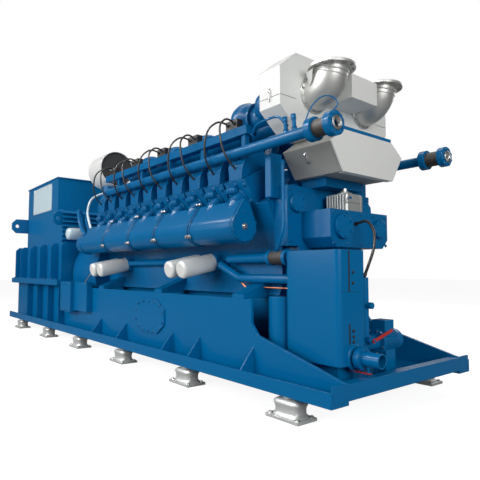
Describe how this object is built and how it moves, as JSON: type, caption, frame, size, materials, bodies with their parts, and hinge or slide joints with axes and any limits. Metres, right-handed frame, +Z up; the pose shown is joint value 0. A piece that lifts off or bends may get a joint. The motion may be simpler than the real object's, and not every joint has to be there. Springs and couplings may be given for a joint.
{
  "type": "gas engine generator",
  "caption": "Stationary gas engine generator set: vee engine with twin exhaust bends, and a box-shaped alternator, on one long welded base with spring isolators.",
  "frame": {"origin": "middle of the base's footprint on the floor", "axes": "+X along the set towards the engine's free end, +Y towards side b, +Z up"},
  "size_m": [6.25, 1.483, 2.19],
  "materials": {
    "aluminium": "satin",
    "black_plastic": "matte",
    "blue_paint": "gloss",
    "cast_grey": "matte",
    "dark_paint": "satin",
    "light_paint": "satin",
    "red_plastic": "gloss",
    "rubber": "matte",
    "steel": "satin"
  },
  "bodies": {
    "set": {"air_drum": "steel", "air_drum_element": "black_plastic", "air_drum_neck": "blue_paint", "alternator_housing": "light_paint", "alternator_louvres": "light_paint", "alternator_lower_frame": "blue_paint", "alternator_upper_frame": "blue_paint", "bank_brackets": "blue_paint", "base_beam_a": "blue_paint", "base_beam_b": "blue_paint", "base_bracket": "blue_paint", "base_cross_members": "blue_paint", "base_floor_plate": "blue_paint", "base_hatches": "blue_paint", "bell_housing": "blue_paint", "charge_air_manifold_a": "blue_paint", "charge_air_manifold_b": "blue_paint", "coolant_end_flanges": "blue_paint", "coolant_pipe_a": "blue_paint", "coolant_pipe_b": "blue_paint", "crankcase": "blue_paint", "cylinder_heads": "light_paint", "drain_valve": "blue_paint", "elbow_box": "steel", "engine_mounts": "blue_paint", "exhaust_elbow_a": "steel", "exhaust_elbow_b": "steel", "exhaust_manifold_a": "steel", "exhaust_manifold_b": "steel", "filter_seats": "blue_paint", "front_hood": "light_paint", "front_tank": "blue_paint", "gas_mixer": "aluminium", "gear_case": "blue_paint", "gear_case_covers": "blue_paint", "gear_case_nose": "blue_paint", "hood_trim": "blue_paint", "ignition_coils": "black_plastic", "ignition_leads_a": "black_plastic", "ignition_leads_b": "black_plastic", "ignition_rails": "blue_paint", "isolator_housings": "cast_grey", "isolator_plates": "cast_grey", "lifting_lugs": "blue_paint", "oil_canister": "dark_paint", "oil_filters": "steel", "oil_sump": "blue_paint", "pump_body": "blue_paint", "pump_motor": "blue_paint", "rubber_joints": "rubber", "shroud_bridge": "light_paint", "side_pipes": "blue_paint", "terminal_box": "light_paint", "turbo_shroud_a": "light_paint", "turbo_shroud_b": "light_paint", "turbochargers": "blue_paint", "valve_covers": "light_paint"},
    "drain_handle": {"drain_lever": "red_plastic"},
    "pump_handle": {"pump_lever": "red_plastic"}
  },
  "joints": [
    {"name": "drain_turn", "type": "hinge", "parent": "set", "child": "drain_handle", "pos_m": [3.064, -0.36, 0.244], "axis": [0, 0, 1], "range_deg": [0, 90]},
    {"name": "pump_turn", "type": "hinge", "parent": "set", "child": "pump_handle", "pos_m": [3.011, -0.229, 0.401], "axis": [1, 0, 0], "range_deg": [0, 90]}
  ]
}
